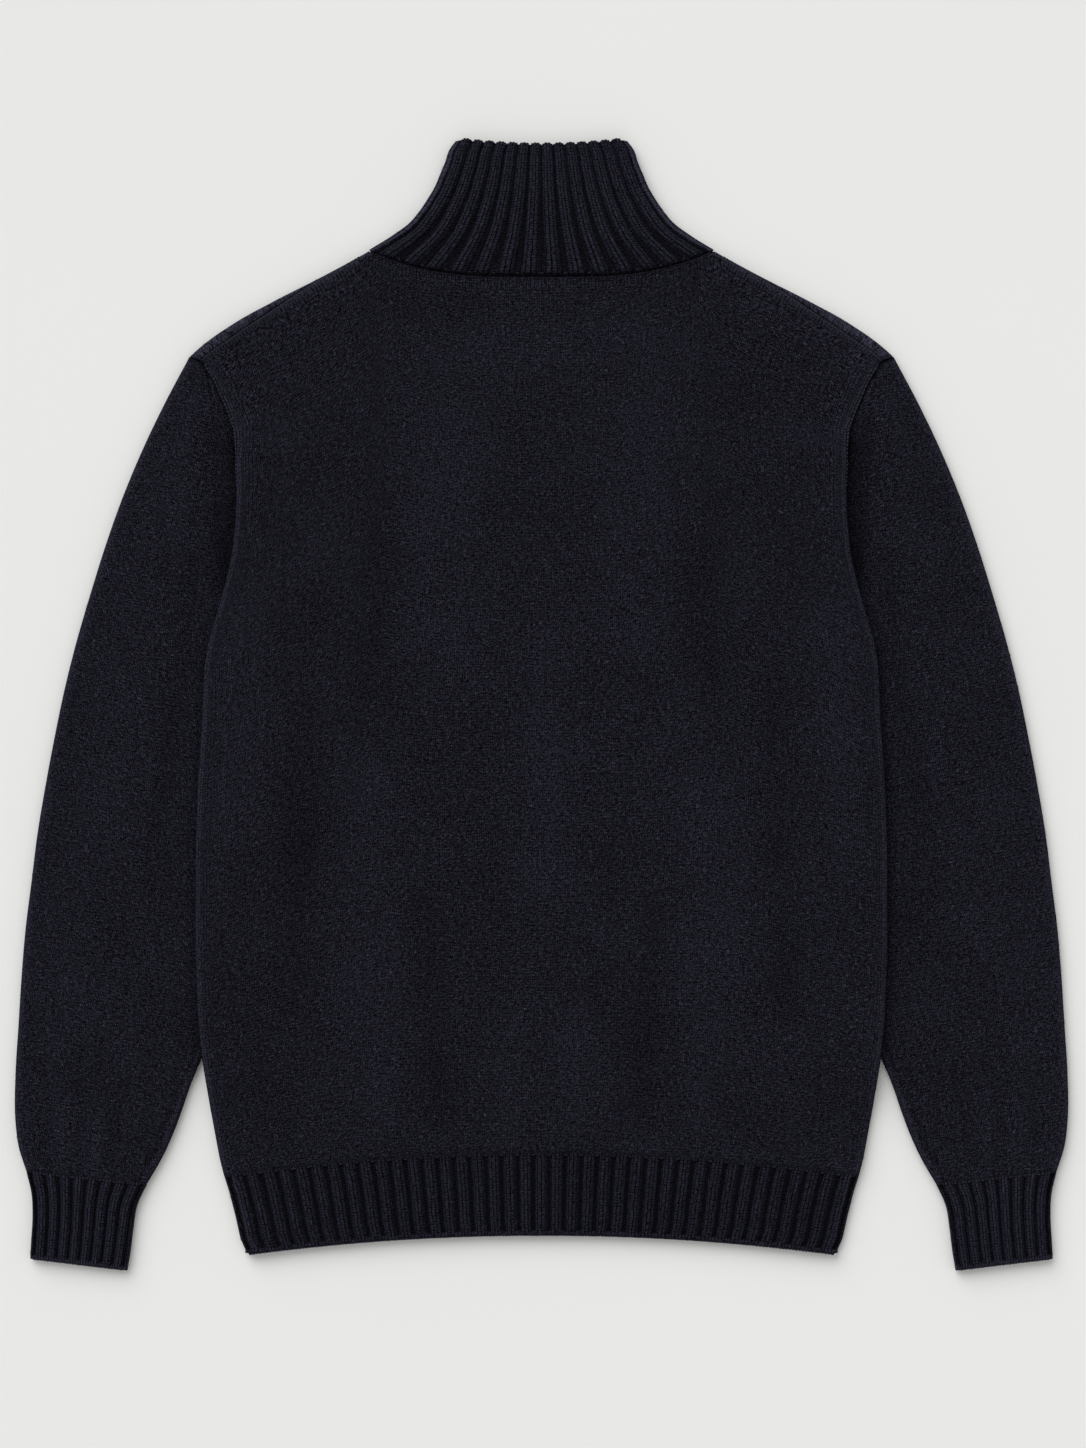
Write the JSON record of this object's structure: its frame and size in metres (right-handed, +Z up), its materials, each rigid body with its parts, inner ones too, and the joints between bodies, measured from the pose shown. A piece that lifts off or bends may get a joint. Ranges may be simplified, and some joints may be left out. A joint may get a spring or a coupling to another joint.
{
  "type": "half-zip sweater",
  "caption": "Chunky knitted half-zip sweater with a ribbed funnel collar, cuffs and hem, laid flat with its back up and its sleeves down at its sides.",
  "frame": {"origin": "on the surface the sweater lies on, under the centre of its outline", "axes": "+Z up out of the back of the sweater, +Y towards the collar, +X towards the wearer's right sleeve"},
  "size_m": [0.7382, 0.79, 0.0155],
  "materials": {
    "knit": "matte dark navy wool knit",
    "rib": "matte dark navy ribbed wool knit",
    "zip_tape": "woven tape",
    "zip_metal": "dull grey metal"
  },
  "bodies": {
    "sweater": {"back_panel": "knit", "front_panel": "knit", "sleeve_left": "knit", "sleeve_right": "knit", "hem_rib_back": "rib", "hem_rib_front": "rib", "cuff_left": "rib", "cuff_right": "rib", "collar": "rib", "zip_tape_left": "zip_tape", "zip_tape_right": "zip_tape", "zip_slider": "zip_metal"},
    "pull": {"zip_pull": "zip_metal"}
  },
  "joints": [
    {"name": "pull_swing", "type": "hinge", "parent": "sweater", "child": "pull", "pos_m": [0, 0.3369, 0.00157], "axis": [1, 0, 0], "range_deg": [0, 170]}
  ]
}
